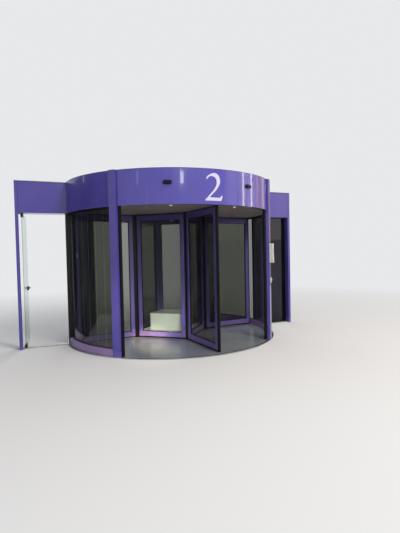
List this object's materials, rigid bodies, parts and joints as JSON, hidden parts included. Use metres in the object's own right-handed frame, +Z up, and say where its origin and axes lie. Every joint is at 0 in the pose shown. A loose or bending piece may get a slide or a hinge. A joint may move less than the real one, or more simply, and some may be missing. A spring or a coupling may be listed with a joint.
{
  "type": "revolving door",
  "caption": "Revolving door: glazed wings on a square glazed core turn in a round glass drum under a purple canopy band, between glazed side bays with a pass door.",
  "frame": {"origin": "the rotor's axis at the level that the door stands on, in the middle of the drum", "axes": "+X to the right along the facade, +Y into the building, +Z up; the street entrance faces -Y"},
  "size_m": [5.24, 3.7498, 2.72],
  "materials": {
    "purple_paint": "satin",
    "black_trim": "satin",
    "black_rubber": "matt",
    "glass": "gloss",
    "metal_trim": "brushed",
    "floor": "polished",
    "ceiling_paint": "matt",
    "off_white": "gloss"
  },
  "bodies": {
    "frame": {"floor_disc": "floor", "floor_edge": "metal_trim", "floor_bearing": "metal_trim", "wall_skirts": "purple_paint", "left_glass": "glass", "right_glass": "glass", "glass_channels": "black_trim", "wall_mullions": "black_trim", "front_left_post": "purple_paint", "front_right_post": "purple_paint", "rear_left_post": "purple_paint", "rear_right_post": "purple_paint", "safety_edges": "black_rubber", "front_fascia": "purple_paint", "rear_fascia": "purple_paint", "left_fascia": "purple_paint", "right_fascia": "purple_paint", "ceiling": "ceiling_paint", "roof_cover": "ceiling_paint", "left_header": "purple_paint", "right_header": "purple_paint", "outer_jambs": "purple_paint", "inner_jambs": "black_trim", "thresholds": "metal_trim", "right_bay_glass": "glass", "motion_sensors": "black_trim", "control_box": "off_white", "door_pivots": "metal_trim"},
    "rotor": {"core_base": "off_white", "core_top": "ceiling_paint", "core_posts": "black_trim", "core_frames": "purple_paint", "core_glass": "glass", "wing_a_frame": "purple_paint", "wing_b_frame": "purple_paint", "wing_c_frame": "purple_paint", "wing_d_frame": "purple_paint", "wing_glass": "glass", "wing_end_seals": "black_rubber", "rotor_brushes": "black_rubber", "rotor_top_seals": "black_rubber", "display_plinth": "off_white"},
    "pass_door": {"door_leaf": "glass", "door_patches": "black_trim", "door_handle": "black_trim"}
  },
  "joints": [
    {"name": "rotor_turn", "type": "hinge", "parent": "frame", "child": "rotor", "pos_m": [0, 0, 0], "axis": [0, 0, 1], "continuous": true},
    {"name": "pass_door_swing", "type": "hinge", "parent": "frame", "child": "pass_door", "pos_m": [-2.52, 0.035, 0], "axis": [0, 0, 1], "range_deg": [-85, 0]}
  ]
}
